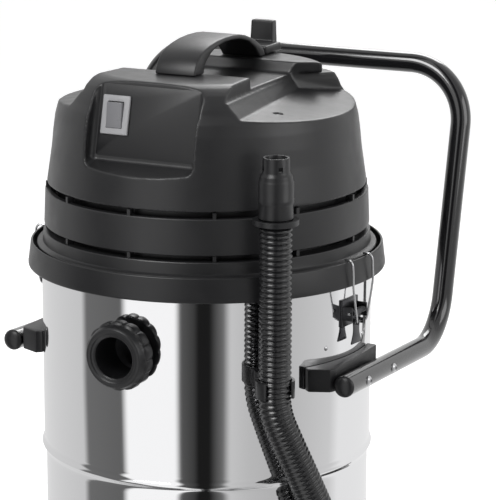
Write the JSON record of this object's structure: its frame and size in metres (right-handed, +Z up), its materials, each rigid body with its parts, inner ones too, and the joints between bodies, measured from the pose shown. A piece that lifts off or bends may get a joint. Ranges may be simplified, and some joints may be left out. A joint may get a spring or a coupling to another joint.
{
  "type": "shop vacuum",
  "caption": "Wheeled wet and dry shop vacuum: polished steel drum on a trolley, lift-off motor head held by side latches, push handle, suction inlet and clipped drain hose.",
  "frame": {"origin": "on the floor at the middle of the bounding box's underside, 30 mm behind the drum's axis", "axes": "+Z up, parallel to the drum's axis, -Y to the front where the suction inlet and the switch are, +X to the drain hose's side"},
  "size_m": [0.558, 0.573, 0.9025],
  "materials": {
    "stainless": "mirror-polished stainless steel",
    "black_plastic": "fine-grained moulded black",
    "head_plastic": "fine-grained moulded charcoal",
    "grey_plastic": "moulded grey",
    "rubber": "soft black",
    "tyre_rubber": "solid black tyre",
    "hose_vinyl": "corrugated black vinyl",
    "plated_steel": "bright zinc plating",
    "black_enamel": "gloss black enamel on steel tube",
    "dark_steel": "dark plated pressed steel",
    "switch_grey": "light grey satin",
    "switch_dark": "mid grey satin",
    "motor_metal": "cast and pressed metal",
    "white_plastic": "moulded white",
    "filter_cloth": "needled polyester",
    "float_orange": "moulded orange"
  },
  "bodies": {
    "tank": {"tank": "stainless", "tank_ring": "black_plastic", "tank_gasket": "rubber", "inlet_neck": "black_plastic", "inlet_locknut": "grey_plastic", "inlet_deflector": "grey_plastic", "drain_outlet": "black_plastic", "drain_hose": "hose_vinyl", "drain_cuff": "black_plastic", "cuff_holder": "black_plastic", "hose_clip": "black_plastic", "trolley_base": "black_plastic", "rear_axle": "plated_steel", "handle_bracket_left": "black_plastic", "handle_bracket_right": "black_plastic", "bracket_bolt_left_1": "plated_steel", "bracket_bolt_left_2": "plated_steel", "bracket_bolt_right_1": "plated_steel", "bracket_bolt_right_2": "plated_steel", "push_handle": "black_enamel", "handle_cap_left": "black_plastic", "handle_cap_right": "black_plastic", "latch_base_left": "dark_steel", "latch_base_right": "dark_steel", "latch_pin_left": "plated_steel", "latch_pin_right": "plated_steel"},
    "head": {"head_base": "head_plastic", "vent_band": "head_plastic", "head_cover": "head_plastic", "carry_handle": "head_plastic", "cord_hook": "head_plastic", "switch_bezel": "switch_grey", "cover_screw_front_left": "dark_steel", "cover_screw_front_right": "dark_steel", "cover_screw_rear_left": "dark_steel", "cover_screw_rear_right": "dark_steel", "motor": "motor_metal", "fan_housing": "black_plastic", "float_cage": "white_plastic", "filter": "filter_cloth", "cable_gland": "black_plastic"},
    "float": {"float_ball": "float_orange"},
    "rocker": {"switch_rocker": "switch_dark"},
    "collar": {"inlet_collar": "black_plastic"},
    "latch_lever_left": {"latch_lever_left": "dark_steel"},
    "latch_bail_left": {"latch_bail_left": "plated_steel"},
    "latch_lever_right": {"latch_lever_right": "dark_steel"},
    "latch_bail_right": {"latch_bail_right": "plated_steel"},
    "wheel_left": {"wheel_left": "grey_plastic", "tyre_left": "tyre_rubber"},
    "wheel_right": {"wheel_right": "grey_plastic", "tyre_right": "tyre_rubber"},
    "caster_left": {"caster_fork_left": "plated_steel", "caster_axle_left": "plated_steel"},
    "caster_right": {"caster_fork_right": "plated_steel", "caster_axle_right": "plated_steel"},
    "caster_wheel_left": {"caster_wheel_left": "tyre_rubber"},
    "caster_wheel_right": {"caster_wheel_right": "tyre_rubber"}
  },
  "joints": [
    {"name": "head_lift", "type": "slide", "parent": "tank", "child": "head", "axis": [0, 0, 1], "range_m": [0, 0.35]},
    {"name": "float_rise", "type": "slide", "parent": "head", "child": "float", "axis": [0, 0, 1], "range_m": [0, 0.04]},
    {"name": "switch_rock", "type": "hinge", "parent": "head", "child": "rocker", "pos_m": [-0.04599, -0.19101, 0.81833], "axis": [-1, 0, 0], "range_deg": [0, 14]},
    {"name": "collar_turn", "type": "hinge", "parent": "tank", "child": "collar", "pos_m": [0, -0.27253, 0.527], "axis": [0, -1, 0], "range_deg": [0, 45]},
    {"name": "latch_lever_left", "type": "hinge", "parent": "tank", "child": "latch_lever_left", "pos_m": [-0.23172, -0.05388, 0.563], "axis": [-0.1045, 0.9945, 0], "range_deg": [0, 135]},
    {"name": "latch_bail_left", "type": "hinge", "parent": "latch_lever_left", "child": "latch_bail_left", "pos_m": [-0.23421, -0.05414, 0.55], "axis": [-0.1045, 0.9945, 0], "range_deg": [-156, 0]},
    {"name": "wheel_spin_left", "type": "hinge", "parent": "tank", "child": "wheel_left", "pos_m": [-0.252, 0.11247, 0.115], "axis": [1, 0, 0], "continuous": true},
    {"name": "caster_swivel_left", "type": "hinge", "parent": "tank", "child": "caster_left", "pos_m": [-0.1496, -0.17913, 0.094], "axis": [0, 0, 1], "continuous": true},
    {"name": "caster_spin_left", "type": "hinge", "parent": "caster_left", "child": "caster_wheel_left", "pos_m": [-0.1496, -0.15313, 0.0375], "axis": [1, 0, 0], "continuous": true},
    {"name": "latch_lever_right", "type": "hinge", "parent": "tank", "child": "latch_lever_right", "pos_m": [0.23172, -0.05388, 0.563], "axis": [-0.1045, -0.9945, 0], "range_deg": [0, 135]},
    {"name": "latch_bail_right", "type": "hinge", "parent": "latch_lever_right", "child": "latch_bail_right", "pos_m": [0.23421, -0.05414, 0.55], "axis": [-0.1045, -0.9945, 0], "range_deg": [-156, 0]},
    {"name": "wheel_spin_right", "type": "hinge", "parent": "tank", "child": "wheel_right", "pos_m": [0.252, 0.11247, 0.115], "axis": [1, 0, 0], "continuous": true},
    {"name": "caster_swivel_right", "type": "hinge", "parent": "tank", "child": "caster_right", "pos_m": [0.1496, -0.17913, 0.094], "axis": [0, 0, 1], "continuous": true},
    {"name": "caster_spin_right", "type": "hinge", "parent": "caster_right", "child": "caster_wheel_right", "pos_m": [0.1496, -0.15313, 0.0375], "axis": [1, 0, 0], "continuous": true}
  ],
  "couplings": [
    {"joint": "latch_bail_left", "follows": "latch_lever_left", "ratio": -1.15},
    {"joint": "latch_bail_right", "follows": "latch_lever_right", "ratio": -1.15}
  ]
}
